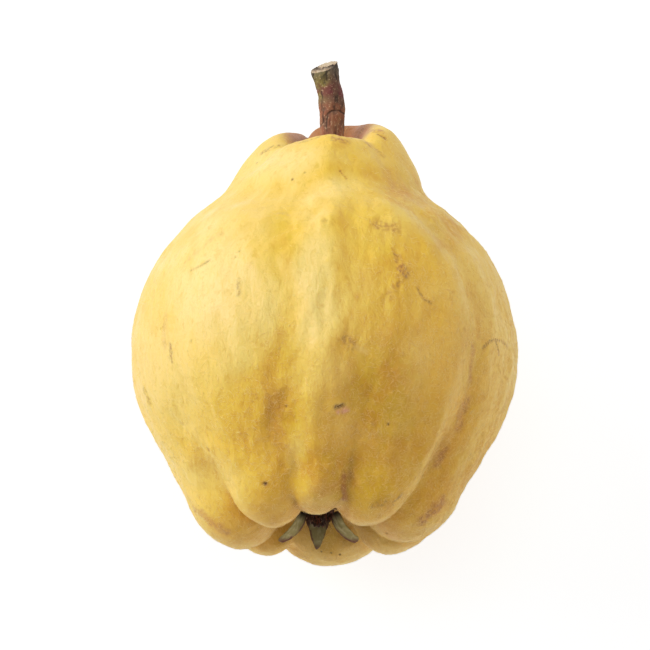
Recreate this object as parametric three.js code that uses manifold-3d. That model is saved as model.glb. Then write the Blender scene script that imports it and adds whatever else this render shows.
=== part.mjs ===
// A ripe quince, lying on its side. It is a lopsided, pear-like fruit with a knobbly neck round the stem
// and eight lobes round the calyx. Millimetres, +Z up. The fruit's core runs along Y, with the stem at +Y
// and the calyx at -Y, and the fruit rests on a small flat spot under its centre of mass.
//
// Azimuth is measured round the core, in degrees: 0 is straight up (+Z), 90 is +X and 180 is straight down.
// Height is measured along the core, in millimetres from its middle, positive towards the stem.
// The finished part is then shifted so that its origin is on the surface it rests on, under its middle.

import * as THREE from "three";
import Module from "manifold-3d";
import { ParametricGeometry } from "three/addons/geometries/ParametricGeometry.js";
import { mergeVertices } from "three/addons/utils/BufferGeometryUtils.js";

const wasm = await Module();
wasm.setup();

// ---- Driving dimensions ----

const BELLY_RADIUS = 42.5; // half the width at the widest place
const DEPTH_SHARE = 0.95; // the fruit is a little less deep than it is wide
const REST_DROP = 39.2; // from the core down to the flat spot
const AROUND = 88; // facets round the core
const RINGS_PER_STATION = 2; // rings between two stations of the outline
const GAP = 0.35; // clearance between pieces that touch

const STEM_AT = 1.85; // the stem stands a little to the right of the core
const STEM_FACETS = 20;
const STEM_CUT = { towardsRight: 0.36, towardsTop: -0.5 }; // how the cut at its end slopes

const CALYX_AT = -1.0; // the calyx sits a little to the left of the core
const CUP_RADIUS = 3.4;
const STAMENS = 14;
const STYLES = 5;
const SEPAL_THICKNESS = 0.7;

const SKIN_COLOUR = 0xe3b948;
const STEM_COLOUR = 0x7c5a3a;
const SEPAL_COLOUR = 0x6f6a48;
const CALYX_COLOUR = 0x2c1f17;

// The outline along the crests of the lobes, from the floor of the stem cavity to the floor of the calyx
// basin: [distance from the core, height].
const OUTLINE = [
  [0, 40.0], // stem cavity floor
  [2.8, 40.3],
  [4.7, 42.8],
  [6.9, 46.2],
  [10.0, 48.4], // neck rim
  [13.7, 46.9],
  [16.9, 42.6],
  [20.2, 37.6],
  [23.4, 32.6], // waist
  [30.6, 26.4], // shoulder
  [37.2, 18.2],
  [41.2, 8.6],
  [BELLY_RADIUS, -1.5], // belly
  [40.8, -13.4],
  [35.7, -24.0],
  [31.3, -32.0], // hip
  [28.4, -38.4],
  [24.0, -42.9],
  [18.4, -44.8], // lobe tips
  [13.2, -43.4],
  [9.8, -40.0], // basin wall
  [7.0, -36.6],
  [3.4, -34.9],
  [0, -34.6], // calyx basin floor
];
const STATION = { rim: 4, waist: 8, shoulder: 9, belly: 12, hip: 15, tip: 18, wall: 20, floor: 23 };

// The creases between the seven big lobes and one small one, in order round the core. Each has its azimuth
// at the belly and at the lobes' tips, and a share of the full crease depth. reach is how much further than
// the outline the lobe after it stretches.
const CREASES = [
  { belly: -56, tip: -57, share: 1.1, reach: -0.6 }, // then the left top lobe
  { belly: -9, tip: -17, share: 0.85, reach: -2.3 }, // then the narrow top lobe
  { belly: 12, tip: 11, share: 1.0, reach: -0.4 }, // then the right top lobe
  { belly: 53, tip: 50, share: 1.0, reach: -0.6 }, // then the right lobe
  { belly: 104, tip: 106, share: 0.5, reach: -0.6 }, // then the lobe right and below
  { belly: 143, tip: 141, share: 1.0, reach: 0.1 }, // then the bottom lobe
  { belly: 205, tip: 207, share: 0.9, reach: -1.2 }, // then the lobe left and below
  { belly: 238, tip: 236, share: 0.9, reach: 0.4 }, // then the left lobe
];
// Depth of the creases between lobes at each station, and how pointed their bottoms are: 2 is a soft
// hollow and under 1 is a sharp fold.
const CREASE_DEPTH = [
  [STATION.waist, 0.2],
  [STATION.shoulder, 0.5],
  [STATION.belly, 0.6],
  [STATION.hip - 1, 2.0],
  [STATION.hip + 1, 4.6],
  [STATION.tip, 5.2],
  [STATION.wall, 3.2],
  [STATION.wall + 1.5, 0.6],
  [STATION.floor, 0],
];
const CREASE_SHARPNESS = [
  [STATION.waist, 2],
  [STATION.belly, 1.8],
  [STATION.hip, 1.05],
  [STATION.tip, 0.6],
  [STATION.floor, 0.9],
];
// The neck has four lobes of its own. The first two creases are deep and the third is hardly there. reach
// is how much further than the outline the lobe after a crease stretches.
const NECK_CREASES = [
  { azimuth: -60, share: 1, reach: 0 }, // then the top lobe
  { azimuth: 44, share: 1, reach: 0 }, // then the right lobe
  { azimuth: 162, share: 0.15, reach: 0 }, // then the bottom lobe
  { azimuth: 210, share: 0.8, reach: 0.4 }, // then the left lobe
];
const NECK_CREASE_DEPTH = [
  [0, 0],
  [2, 1.1],
  [STATION.rim, 3.1],
  [STATION.rim + 2, 1.6],
  [STATION.waist, 0.3],
  [STATION.shoulder, 0],
];

// The neck's rim and the lobes' tips each lie in a slanting plane: the fruit is longer underneath.
const RIM_SLANT = { azimuth: 160, rise: 3.5 };
const TIP_SLANT = { azimuth: 180, rise: -2.0 };

// How far the core sways sideways at each station.
const SWAY = [
  [STATION.rim, 1.7],
  [STATION.waist, 0.2],
  [STATION.shoulder, 0],
  [STATION.belly, 0.1],
  [STATION.hip, 0.2],
  [STATION.tip, -0.2],
  [STATION.floor, -1.0],
];

// Ridges and hollows across the skin. Each follows points of [azimuth, height], with a rounded section
// of that width and rise; a hollow's rise is negative.
const FOLDS = [
  {
    name: "ledge", // runs over the right shoulder and down the crest of the right top lobe
    path: [[1, 24.5], [7, 26.5], [20, 27], [29, 25], [37, 21], [44, 14], [46, 5], [43, -12], [43, -34]],
    width: 3.2,
    rise: 1.2,
  },
  {
    name: "right_furrow", // beside the ledge
    path: [[42, 19], [51, 13], [53, 2], [55, -9], [57, -19], [54, -29]],
    width: 3.2,
    rise: -1.0,
  },
  { name: "top_rib", path: [[-2, 20], [-4, 10], [-1, -3], [-4, -14], [-8, -27]], width: 4, rise: 0.5 },
  {
    name: "top_furrow",
    path: [[-18, 28], [-11, 15], [-9, 2], [-13, -8], [-12, -17], [-17, -26]],
    width: 3.6,
    rise: -0.45,
  },
  { name: "dimple", path: [[9, -6], [10, -7]], width: 2.2, rise: -0.6 },
  { name: "dimple_edge", path: [[7, -12], [18, -4]], width: 2.2, rise: 0.5 },
  { name: "left_swell", path: [[-36, 14], [-34, 2]], width: 12, rise: 1.0 },
  { name: "waist_hollow", path: [[-42, 31], [-22, 30], [-8, 29]], width: 3.6, rise: -1.3 },
  { name: "right_swell", path: [[88, -8], [90, -20]], width: 9, rise: 0.4 },
  { name: "neck_ridge", path: [[-2, 45], [-3, 36]], width: 4.5, rise: 0.8 },
  { name: "neck_left", path: [[-90, 44], [-90, 42]], width: 4.5, rise: 0.9 },
  { name: "neck_right", path: [[90, 40], [90, 37]], width: 6, rise: 1.0 },
  { name: "waist_right", path: [[90, 32], [90, 29]], width: 4, rise: -1.5 },
];

// ---- Small helpers ----

const radians = THREE.MathUtils.degToRad;
const wrap = (degrees) => THREE.MathUtils.euclideanModulo(degrees + 180, 360) - 180;

// A value read from [place, value] pairs, eased between them.
function eased(pairs, place) {
  if (place <= pairs[0][0]) return pairs[0][1];
  for (let i = 1; i < pairs.length; i++) {
    const [lower, upper] = [pairs[i - 1], pairs[i]];
    if (place <= upper[0]) {
      const share = (place - lower[0]) / (upper[0] - lower[0]);
      return THREE.MathUtils.lerp(lower[1], upper[1], share * share * (3 - 2 * share));
    }
  }
  return pairs[pairs.length - 1][1];
}

const outline = new THREE.SplineCurve(OUTLINE.map(([radius, height]) => new THREE.Vector2(radius, height)));
const stations = OUTLINE.length - 1;

// ---- The fruit ----

// The lobe at an azimuth: its two creases, and how far across the lobe the azimuth is, from 0 to 1.
function lobeAt(azimuth, station) {
  const towardsTip = THREE.MathUtils.smoothstep(station, STATION.belly, STATION.tip);
  const places = CREASES.map(({ belly, tip }) => THREE.MathUtils.lerp(belly, tip, towardsTip));
  const turned = places.map((place) => THREE.MathUtils.euclideanModulo(azimuth - place, 360));
  const before = turned.indexOf(Math.min(...turned));
  const after = (before + 1) % CREASES.length;
  const width = THREE.MathUtils.euclideanModulo(places[after] - places[before], 360);
  return { before: CREASES[before], after: CREASES[after], across: turned[before] / width };
}

// How deep the neck is creased at an azimuth, from 0 on a crest to 1 in the deepest crease, and how much
// further than the outline it stretches there.
function neckLobeAt(azimuth) {
  const turned = NECK_CREASES.map((next) => THREE.MathUtils.euclideanModulo(azimuth - next.azimuth, 360));
  const index = turned.indexOf(Math.min(...turned));
  const before = NECK_CREASES[index];
  const after = NECK_CREASES[(index + 1) % NECK_CREASES.length];
  const across = turned[index] / THREE.MathUtils.euclideanModulo(after.azimuth - before.azimuth, 360);
  const fullness = Math.sin(Math.PI * across) ** 0.75;
  const crease = THREE.MathUtils.lerp(before.share, after.share, across) * (1 - fullness);
  return { crease, reach: before.reach * fullness };
}

// Distance over the skin from a point to a fold's path, with azimuths taken as arcs at this radius.
function distanceToPath(path, azimuth, height, radius) {
  const place = new THREE.Vector3(0, height, 0);
  const nearest = new THREE.Vector3();
  let least = Infinity;
  for (let i = 1; i < path.length; i++) {
    const [start, end] = [path[i - 1], path[i]].map(
      ([turn, along]) => new THREE.Vector3(radians(wrap(turn - azimuth)) * radius, along, 0),
    );
    new THREE.Line3(start, end).closestPointToPoint(place, true, nearest);
    least = Math.min(least, nearest.distanceTo(place));
  }
  return least;
}

// A point of the skin, for a station along the outline and an azimuth.
function skinPoint(station, azimuth) {
  const share = station / stations;
  const onOutline = outline.getPoint(share);
  const tangent = outline.getTangent(share);
  const outward = new THREE.Vector2(-tangent.y, tangent.x);

  const { before, after, across } = lobeAt(azimuth, station);
  const fullness = Math.sin(Math.PI * across) ** eased(CREASE_SHARPNESS, station);
  let rise = -eased(CREASE_DEPTH, station) * THREE.MathUtils.lerp(before.share, after.share, across);
  rise *= 1 - fullness;
  const neck = neckLobeAt(azimuth);
  rise -= eased(NECK_CREASE_DEPTH, station) * neck.crease;
  const insideEnds =
    THREE.MathUtils.smoothstep(station, STATION.rim - 0.5, STATION.rim + 1) *
    (1 - THREE.MathUtils.smoothstep(station, STATION.tip, STATION.wall));
  for (const fold of FOLDS) {
    const away = distanceToPath(fold.path, azimuth, onOutline.y, Math.max(onOutline.x, 1));
    rise += fold.rise * Math.exp(-((away / fold.width) ** 2)) * insideEnds;
  }
  rise *= THREE.MathUtils.smoothstep(onOutline.x, 0, 4);
  const place = onOutline.clone().addScaledVector(outward, rise);

  const nearRim = THREE.MathUtils.smoothstep(STATION.waist - station, 0, STATION.waist - STATION.rim);
  const nearTip = THREE.MathUtils.smoothstep(station, STATION.belly + 1, STATION.tip);
  const offCore = THREE.MathUtils.smoothstep(onOutline.x, 0, 9);
  place.y += RIM_SLANT.rise * Math.cos(radians(azimuth - RIM_SLANT.azimuth)) * nearRim * offCore;
  place.y += TIP_SLANT.rise * Math.cos(radians(azimuth - TIP_SLANT.azimuth)) * nearTip * offCore;
  place.y += neck.reach * nearRim * offCore;
  place.y -= before.reach * fullness * nearTip * offCore;

  const turn = radians(azimuth);
  return new THREE.Vector3(
    place.x * Math.sin(turn) + eased(SWAY, station),
    place.y,
    place.x * Math.cos(turn) * DEPTH_SHARE,
  );
}

function fruitGeometry() {
  const rings = stations * RINGS_PER_STATION;
  const geometry = new ParametricGeometry(
    (across, along, target) => {
      target.copy(skinPoint((1 - along) * stations, across * 360));
      target.z = Math.max(target.z, -REST_DROP);
    },
    AROUND,
    rings,
  );
  geometry.deleteAttribute("normal");
  geometry.deleteAttribute("uv");
  return mergeVertices(geometry, 1e-4);
}

// ---- Stem and calyx ----

// A closed body of revolution-like rings: place(along, azimuth) gives each point, for along from 0 to 1.
function ringsGeometry(place, around, along) {
  const geometry = new ParametricGeometry(
    (across, share, target) => target.copy(place(share, across * 2 * Math.PI)),
    around,
    along,
  );
  geometry.deleteAttribute("normal");
  geometry.deleteAttribute("uv");
  return mergeVertices(geometry, 1e-4);
}

// The stem's sides: [radius, height, sideways shift], from the middle of its foot to the middle of the cut.
const STEM_SIDES = [
  [0, 40.6, 0],
  [2.3, 40.8, 0],
  [2.6, 42.6, 0],
  [2.6, 46.5, 0],
  [2.65, 51.8, 0],
  [2.85, 54.2, 0.05],
  [2.7, 56.2, -0.25],
  [2.8, 58.9, -0.85],
  [3.05, 61.8, -1.5],
  [2.95, 62.6, -1.65],
  [0, 62.7, -1.65],
];

function stemGeometry() {
  const sides = new THREE.CatmullRomCurve3(
    STEM_SIDES.map(([radius, height, shift]) => new THREE.Vector3(radius, height, shift)),
    false,
    "centripetal",
  );
  const place = (along, turn) => {
    const { x: radius, y: height, z: shift } = sides.getPoint(along);
    const lump = 1 + 0.05 * Math.sin(2 * turn + height / 3) + 0.04 * Math.sin(3 * turn - height / 5);
    const right = Math.max(radius, 0) * lump * Math.sin(turn);
    const up = Math.max(radius, 0) * lump * Math.cos(turn) * 0.94;
    const cut = THREE.MathUtils.smoothstep(height, 55, 61.5);
    const slope = right * STEM_CUT.towardsRight + up * STEM_CUT.towardsTop;
    return new THREE.Vector3(STEM_AT + shift + right, height + slope * cut, up);
  };
  return ringsGeometry(place, STEM_FACETS, 30);
}

// A tapering rod through the given points, rounded off at both ends.
function rodGeometry(points, thick, thin, around = 6) {
  const curve = new THREE.CatmullRomCurve3(points);
  const frames = curve.computeFrenetFrames(10);
  const place = (along, turn) => {
    const rounding = Math.sqrt(Math.max(0, 1 - (2 * along - 1) ** 12));
    const taper = rounding * THREE.MathUtils.lerp(thick, thin, along);
    const index = Math.round(along * 10);
    return curve
      .getPointAt(along)
      .addScaledVector(frames.normals[index], Math.cos(turn) * taper)
      .addScaledVector(frames.binormals[index], Math.sin(turn) * taper);
  };
  return ringsGeometry(place, around, 10);
}

// A point near the calyx, from its distance from the calyx's middle, its azimuth and its height.
function byCalyx(radius, azimuth, height) {
  const turn = radians(azimuth);
  return new THREE.Vector3(CALYX_AT + radius * Math.sin(turn), height, radius * Math.cos(turn));
}

function solid(geometry) {
  const vertProperties = new Float32Array(geometry.getAttribute("position").array);
  const triVerts = new Uint32Array(geometry.index.array);
  const mesh = new wasm.Mesh({ numProp: 3, vertProperties, triVerts });
  mesh.merge();
  return new wasm.Manifold(mesh);
}

// Several closed geometries joined into one body.
function joined(geometries) {
  const mesh = geometries.map(solid).reduce((whole, next) => whole.add(next)).getMesh();
  const geometry = new THREE.BufferGeometry();
  geometry.setAttribute("position", new THREE.BufferAttribute(mesh.vertProperties, 3));
  geometry.setIndex(new THREE.BufferAttribute(mesh.triVerts, 1));
  return geometry;
}

// The dried cup on the basin's floor, with withered stamens round its rim.
function cupGeometry() {
  const floor = -34.6 - 3 * GAP;
  const hollow = [[0, floor - 1.0], [1.9, floor - 1.2], [2.3, floor - 2.1]];
  const sides = [[CUP_RADIUS - 0.2, floor - 1.9], [CUP_RADIUS, floor - 0.9], [2.4, floor], [0, floor]];
  const profile = [...hollow, ...sides].map(([radius, height]) => new THREE.Vector2(radius, height));
  const body = new THREE.LatheGeometry(profile, 20);
  body.deleteAttribute("normal");
  body.deleteAttribute("uv");
  body.translate(CALYX_AT, 0, 0);
  const stamens = Array.from({ length: STAMENS }, (_, i) => {
    const azimuth = (i * 360) / STAMENS;
    const reach = 1.6 + 0.7 * Math.sin(i * 2.3);
    const lean = 0.9 * Math.cos(i * 1.7);
    const points = [
      byCalyx(2.75, azimuth, floor - 1.3),
      byCalyx(2.6 - 0.2 * lean, azimuth + 6 * lean, floor - 1.9 - reach * 0.5),
      byCalyx(2.1 + 0.6 * lean, azimuth + 16 * lean, floor - 1.9 - reach),
    ];
    return rodGeometry(points, 0.32, 0.24);
  });
  return joined([mergeVertices(body, 1e-4), ...stamens]);
}

// Five withered styles, grown together at their foot.
function stylesGeometry() {
  const foot = -34.6 - 3 * GAP - 1.0 - GAP;
  const styles = Array.from({ length: STYLES }, (_, i) => {
    const azimuth = (i * 360) / STYLES + 20;
    const points = [
      byCalyx(0.3, azimuth, foot),
      byCalyx(0.45, azimuth, foot - 1.8),
      byCalyx(1.1, azimuth + 25, foot - 3.6),
    ];
    return rodGeometry(points, 0.5, 0.3);
  });
  return joined(styles);
}

// The sepals: azimuth round the calyx, the width at the foot, the height of the foot, and the distance from
// the calyx's middle and the height of the tip. A pointed one tapers evenly and the others are blunt. twist
// is how far the blade turns by its tip, in degrees. The lobes above press two of them down flat.
const SEPALS = [
  { azimuth: 183, width: 6.3, pointed: 1, twist: 0, foot: -36.7, tip: [8.8, -44.3] },
  { azimuth: 249, width: 4.8, pointed: 0.3, twist: 26, foot: -36.7, tip: [9.4, -43.2] },
  { azimuth: 324, width: 5.0, pointed: 0.6, twist: 0, foot: -36.1, tip: [8.0, -37.4] },
  { azimuth: 36, width: 5.0, pointed: 0.6, twist: 0, foot: -36.1, tip: [8.0, -37.4] },
  { azimuth: 113, width: 4.8, pointed: 0.2, twist: -26, foot: -36.7, tip: [9.4, -43.2] },
];

function sepalGeometry({ azimuth, width, pointed, twist, foot, tip }) {
  const [tipRadius, tipHeight] = tip;
  const curve = new THREE.QuadraticBezierCurve3(
    byCalyx(4.1, azimuth, foot),
    byCalyx(4.5, azimuth, THREE.MathUtils.lerp(foot, tipHeight, 0.6)),
    byCalyx(tipRadius, azimuth, tipHeight),
  );
  const sideways = new THREE.Vector3(Math.cos(radians(azimuth)), 0, -Math.sin(radians(azimuth)));
  const place = (along, turn) => {
    const tapered = 1 - 0.9 * along;
    const blunt = 1 - 0.45 * along ** 2;
    const half = (width / 2) * THREE.MathUtils.lerp(blunt, tapered, pointed);
    const end = Math.sqrt(Math.max(0, 1 - (2 * along - 1) ** 10));
    const thick = (SEPAL_THICKNESS / 2) * end * (1 - 0.35 * along);
    const tangent = curve.getTangentAt(along);
    const across = sideways.clone().applyAxisAngle(tangent, radians(twist * along));
    const outward = tangent.clone().cross(across).normalize();
    const cupped = 0.16 * half * end * Math.cos(turn) ** 2;
    return curve
      .getPointAt(along)
      .addScaledVector(across, Math.cos(turn) * half * end)
      .addScaledVector(outward, Math.sin(turn) * thick - cupped);
  };
  return ringsGeometry(place, 14, 14);
}

// ---- The whole quince ----

const quince = new THREE.Group();

function addPiece(name, geometry, color, roughness) {
  const material = new THREE.MeshStandardMaterial({ color, roughness, metalness: 0 });
  const piece = new THREE.Mesh(geometry, material);
  piece.name = name;
  quince.add(piece);
}

addPiece("fruit", fruitGeometry(), SKIN_COLOUR, 0.6);
addPiece("stem", stemGeometry(), STEM_COLOUR, 0.85);
addPiece("calyx_cup", cupGeometry(), CALYX_COLOUR, 0.9);
addPiece("styles", stylesGeometry(), CALYX_COLOUR, 0.9);
SEPALS.forEach((sepal, i) => addPiece("sepal_" + (i + 1), sepalGeometry(sepal), SEPAL_COLOUR, 0.8));

// The origin is under the middle of the whole quince, at the height of the flat spot.
const bounds = new THREE.Box3().setFromObject(quince);
const middle = bounds.getCenter(new THREE.Vector3());
quince.position.set(-middle.x, -middle.y, REST_DROP);

export default quince;
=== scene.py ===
"""A ripe quince lying on its side on a pale studio floor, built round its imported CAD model.

Lengths are in millimetres in the tables and helpers below, and in metres in the meshes. The fruit's core runs
along Y, with the stem at +Y and the calyx at -Y.
"""

import math

import bmesh
import bpy
import numpy as np
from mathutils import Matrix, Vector, noise
from mathutils.bvhtree import BVHTree


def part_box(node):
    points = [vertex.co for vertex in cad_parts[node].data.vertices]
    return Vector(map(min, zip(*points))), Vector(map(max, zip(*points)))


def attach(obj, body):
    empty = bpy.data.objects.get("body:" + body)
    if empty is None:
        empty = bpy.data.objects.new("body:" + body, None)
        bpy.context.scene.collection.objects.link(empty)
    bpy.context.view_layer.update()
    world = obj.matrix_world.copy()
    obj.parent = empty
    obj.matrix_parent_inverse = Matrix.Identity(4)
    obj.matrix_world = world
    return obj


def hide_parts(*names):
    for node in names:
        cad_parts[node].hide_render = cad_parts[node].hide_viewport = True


MM = 0.001
SEED = 7

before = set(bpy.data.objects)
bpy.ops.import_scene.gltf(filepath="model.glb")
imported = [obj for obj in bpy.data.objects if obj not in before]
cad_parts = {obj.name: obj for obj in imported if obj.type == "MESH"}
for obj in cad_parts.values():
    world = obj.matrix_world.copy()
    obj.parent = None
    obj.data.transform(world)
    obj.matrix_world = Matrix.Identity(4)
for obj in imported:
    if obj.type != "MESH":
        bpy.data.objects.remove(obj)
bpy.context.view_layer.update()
scene = bpy.context.scene
random = np.random.default_rng(SEED)


# ---- Places, all taken from the CAD model ----


def middle(node):
    """The middle of a CAD node's box, in millimetres."""
    low, high = (np.array(corner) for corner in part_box(node))
    return (low + high) / 2 / MM


# In millimetres, how far the core's line runs to the right of the calyx, and how far the core's middle lies
# from the end of the cup that is nearest the stem.
CORE_RIGHT_OF_CALYX = 1.0
CORE_PAST_CUP = 35.65

CALYX = middle("calyx_cup")
STEM = middle("stem")
BELLY = middle("fruit")
CORE_X = CALYX[0] + CORE_RIGHT_OF_CALYX
CORE_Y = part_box("calyx_cup")[1][1] / MM + CORE_PAST_CUP
CORE_Z = CALYX[2]
STEM_LOW, STEM_HIGH = (np.array(corner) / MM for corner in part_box("stem"))
FRUIT_LOW, FRUIT_HIGH = (np.array(corner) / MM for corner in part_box("fruit"))


# ---- Marks on the skin ----

# Each mark: its kind, half width, strength, and the points that it follows. The points are seen from straight
# above, in millimetres to the right of the core and from its middle towards the stem.
MARKS = [
    ("pink", 0.8, 1.0, [(3.4, -20.8), (5.3, -20.2)]),
    ("pit", 0.5, 0.9, [(2.9, -19.9), (4.3, -19.4)]),
    ("pit", 0.5, 1.0, [(-12.5, -34.7)]),
    ("pit", 0.3, 0.7, [(-7.3, -19.3)]),
    ("crack", 0.24, 1.0, [(34.6, -4.3), (36.1, -2.7), (37.5, -2.0), (38.9, -2.0), (40.1, -2.4)]),
    ("crack", 0.22, 1.0, [(37.5, -2.0), (38.3, -5.0)]),
    ("russet", 1.7, 1.0, [(17.0, 10.6), (17.4, 9.7)]),
    ("russet", 1.2, 0.6, [(15.8, 13.7), (17.0, 10.8)]),
    ("russet", 1.3, 0.5, [(17.0, 9.5), (15.6, 7.0), (14.2, 4.6)]),
    ("russet", 1.9, 0.6, [(11.8, 21.1), (15.3, 20.3)]),
    ("russet", 1.0, 0.6, [(-0.3, 21.6)]),
    ("russet", 0.9, 0.4, [(-9.9, 24.4)]),
    ("crack", 0.3, 0.6, [(20.5, 6.5), (21.7, 4.5), (23.4, 3.5)]),
    ("russet", 1.6, 0.55, [(5.0, -5.4), (6.4, -6.6)]),
    ("pale", 0.9, 0.7, [(7.5, -7.0), (9.5, -8.0)]),
    ("russet", 0.4, 0.8, [(-30.2, 14.1)]),
    ("crack", 0.25, 0.7, [(-28.8, 11.8), (-26.8, 12.4), (-24.8, 13.5)]),
    ("stain", 0.7, 0.4, [(-29.4, 14.8), (-26.1, 17.0), (-22.8, 19.8)]),
    ("pit", 0.25, 0.6, [(-18.0, 14.9)]),
    ("pit", 0.22, 0.6, [(-18.8, 13.6)]),
    ("russet", 0.7, 0.6, [(-18.4, 8.3), (-18.6, 4.8)]),
    ("stain", 1.0, 0.4, [(-34.5, 2.8), (-34.5, -3.9)]),
    ("russet", 0.8, 0.8, [(-33.2, -4.2), (-33.0, -7.5)]),
    ("russet", 0.4, 0.7, [(-28.7, -4.3)]),
    ("russet", 0.35, 0.6, [(-29.4, -6.2)]),
    ("russet", 0.9, 0.6, [(-39.4, -11.4), (-38.3, -14.6)]),
    ("russet", 1.0, 0.6, [(-33.4, -26.2)]),
    ("pale", 0.5, 0.5, [(-32.7, -18.4), (-28.7, -23.3), (-25.5, -26.5)]),
    ("pit", 0.4, 0.8, [(-24.9, -26.3)]),
    ("stain", 2.4, 0.35, [(-9.6, -17.2), (-9.6, -26.0)]),
    ("stain", 1.5, 0.75, [(31.0, -16.0), (29.5, -21.0)]),
    ("stain", 1.1, 0.75, [(26.5, -26.0), (24.4, -29.4)]),
    ("pit", 0.22, 0.9, [(14.0, -22.8)]),
    ("pit", 0.25, 0.8, [(21.6, -31.8)]),
    ("pit", 0.25, 0.8, [(13.9, -42.8)]),
    ("stain", 1.5, 0.9, [(26.0, -36.6), (21.4, -40.9)]),
    ("russet", 0.7, 0.7, [(17.0, -36.6), (15.4, -38.5)]),
    ("russet", 1.2, 0.45, [(10.5, -39.4), (13.2, -38.4)]),
    ("pit", 0.2, 0.8, [(-0.5, -44.5)]),
    ("pit", 0.2, 0.7, [(1.7, -44.8)]),
    ("pit", 0.2, 0.8, [(3.7, -45.1)]),
    ("stain", 1.6, 0.6, [(-28.2, -37.2), (-25.0, -40.2), (-21.4, -42.5)]),
    ("pit", 0.25, 0.8, [(-6.3, 33.4)]),
    ("pit", 0.2, 0.6, [(-3.8, 34.9)]),
    ("russet", 0.4, 0.6, [(-14.8, 39.8)]),
    ("crack", 0.25, 0.5, [(3.9, 35.2), (5.3, 33.5)]),
    ("russet", 1.2, 0.7, [(2.1, 43.4), (4.7, 43.0)]),
    ("russet", 0.6, 0.6, [(-5.2, 43.1), (-1.2, 44.0)]),
    ("russet", 0.8, 0.45, [(8.5, 43.6), (10.7, 42.3), (13.3, 40.5)]),
    ("crack", 0.35, 0.8, [(12.1, 46.3), (13.7, 45.1)]),
    ("russet", 0.9, 0.8, [(-13.6, 42.4), (-11.8, 43.2), (-9.8, 43.8)]),
    ("stain", 1.0, 0.9, [(4.4, -33.0), (4.6, -37.5)]),
    ("stain", 5.0, 0.3, [(16.5, 31.0), (21.0, 29.5)]),
    ("stain", 1.3, 0.8, [(6.0, 47.6), (9.0, 48.2), (12.5, 47.2)]),
    ("russet", 0.6, 0.7, [(-0.5, 44.6), (2.5, 44.9), (6.0, 44.3)]),
    ("stain", 1.0, 0.6, [(32.5, -4.0), (31.8, -12.0)]),
]

# Patches of the upper skin that are paler or deeper than the rest: partly the skin's own ripening, and partly
# painted highlight on the pale ones and painted shade on the deeper ones. Each has its kind, its strength,
# its middle, and its half widths, measured as the marks are.
PATCHES = [
    ("sunny_and_painted_highlight", 1.0, (-23, 8), (11, 17)),
    ("sunny_and_painted_highlight", 1.0, (-2, 8), (4, 18)),
    ("sunny_and_painted_highlight", 0.8, (-12, 1), (4, 8)),
    ("sunny_and_painted_highlight", 0.8, (-7, 38), (8, 6)),
    ("sunny_and_painted_highlight", 0.7, (2, 31), (5, 4)),
    ("sunny_and_painted_highlight", 0.5, (-36, -10), (8, 24)),
    ("sunny_and_painted_highlight", 0.4, (36, 4), (8, 26)),
    ("sunny_and_painted_highlight", 0.6, (-6, -29), (2, 4)),
    ("deep", 1.0, (13, -18), (8, 16)),
    ("deep", 0.35, (14, 8), (6, 9)),
    ("deep", 0.5, (-9, 17), (3, 8)),
    ("deep", 0.5, (-9, -8), (2.5, 8)),
    ("deep", 0.8, (-9, -19), (6, 7)),
    ("deep", 1.0, (6, -35), (15, 8)),
    ("deep", 1.0, (4, -46), (18, 5)),
    ("deep", 0.4, (-2, -22), (4, 5)),
    ("deep", 0.6, (25, -33), (11, 14)),
    ("deep", 0.8, (18, 32), (7, 8)),
    ("deep", 0.8, (26, 22), (5, 8)),
    ("deep", 0.6, (32, -8), (3, 14)),
]

# Each kind of mark: how it raises the skin in its middle, and how wavy its edge is, in millimetres.
KINDS = {
    "pink": (0.12, 0.25),
    "pit": (-0.3, 0.08),
    "crack": (-0.16, 0.1),
    "russet": (0.05, 0.3),
    "pale": (-0.12, 0.3),
    "stain": (0.0, 0.9),
}


# ---- Mesh helpers ----


def mesh_arrays(mesh):
    """A mesh's vertices in millimetres, their normals, and its edges."""
    count = len(mesh.vertices)
    points = np.empty(count * 3, dtype=np.float32)
    mesh.vertices.foreach_get("co", points)
    points = points.reshape(-1, 3).astype(float) / MM
    normals = np.empty(count * 3, dtype=np.float32)
    mesh.vertex_normals.foreach_get("vector", normals)
    normals = normals.reshape(-1, 3).astype(float)
    edges = np.empty(len(mesh.edges) * 2, dtype=np.int32)
    mesh.edges.foreach_get("vertices", edges)
    return points, normals, edges.reshape(-1, 2)


def set_points(mesh, points):
    """Moves a mesh's vertices to points given in millimetres."""
    mesh.vertices.foreach_set("co", (points * MM).astype(np.float32).ravel())
    mesh.update()


def set_values(mesh, name, values):
    """Keeps one number per vertex, or one colour, as an attribute that the materials read."""
    values = np.asarray(values, dtype=np.float32)
    if values.ndim == 1:
        mesh.attributes.new(name, "FLOAT", "POINT").data.foreach_set("value", values)
    else:
        rgba = np.hstack([values, np.ones((len(values), 1), dtype=np.float32)])
        mesh.attributes.new(name, "FLOAT_COLOR", "POINT").data.foreach_set("color", rgba.ravel())


def link(name, mesh, material, replaces=()):
    """Adds a finished piece of the object, which takes the place of the CAD nodes in replaces."""
    piece = bpy.data.objects.new(name, mesh)
    scene.collection.objects.link(piece)
    mesh.materials.clear()
    mesh.materials.append(material)
    mesh.shade_smooth()
    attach(piece, "root")
    if replaces:
        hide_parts(*replaces)


# How close corners are welded, in millimetres, how flat two triangles lie to be joined, in degrees, and how
# much of the way to the corners each correction goes.
WELD = 0.001
JOIN_ANGLE = 50
CORRECTION = 0.9


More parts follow.
